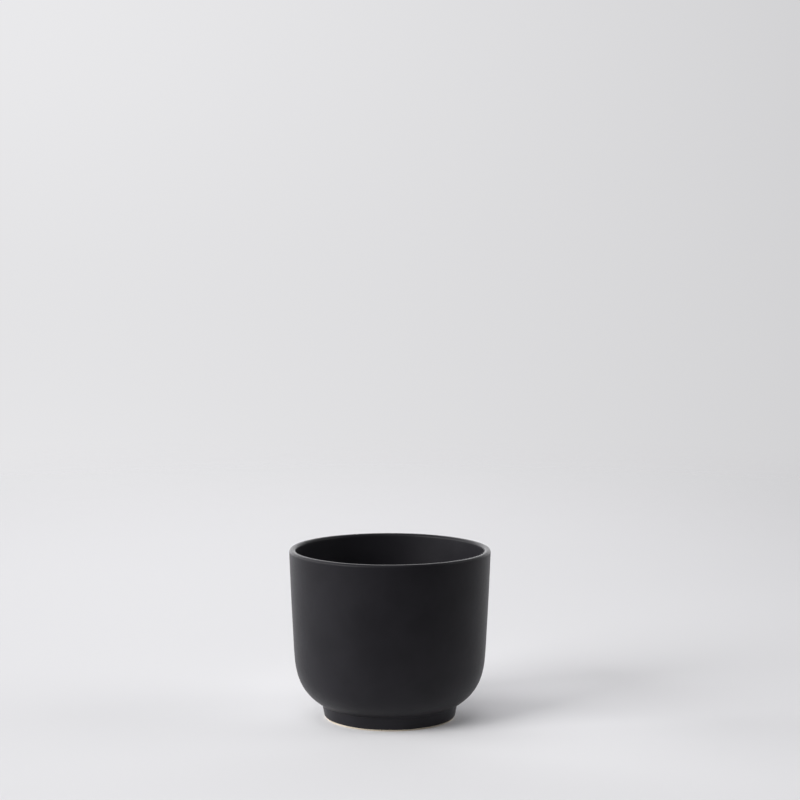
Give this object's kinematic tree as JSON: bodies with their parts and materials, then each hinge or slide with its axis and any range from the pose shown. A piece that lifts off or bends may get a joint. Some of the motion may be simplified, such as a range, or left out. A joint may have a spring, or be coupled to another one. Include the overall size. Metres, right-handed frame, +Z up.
{
  "type": "candle jar",
  "caption": "Empty open-topped ceramic candle jar: slightly flared round wall, rounded lower corner, short foot ring, matt black glaze and a bare clay line round the foot.",
  "frame": {"origin": "centre of the circle that the foot ring stands on, at the table", "axes": "+Z up out of the mouth, along the axis that the jar is turned about; it is round, so +X and +Y are any two directions square to it"},
  "size_m": [0.1, 0.1, 0.0847],
  "materials": {
    "buff_stoneware": "bare fired clay, fine-grained and matt",
    "matt_black_glaze": "matt to satin glaze with a soft sheen"
  },
  "bodies": {
    "root": {"stoneware_body": "buff_stoneware", "black_glaze_coat": "matt_black_glaze", "underside_glaze": "matt_black_glaze"}
  },
  "joints": []
}
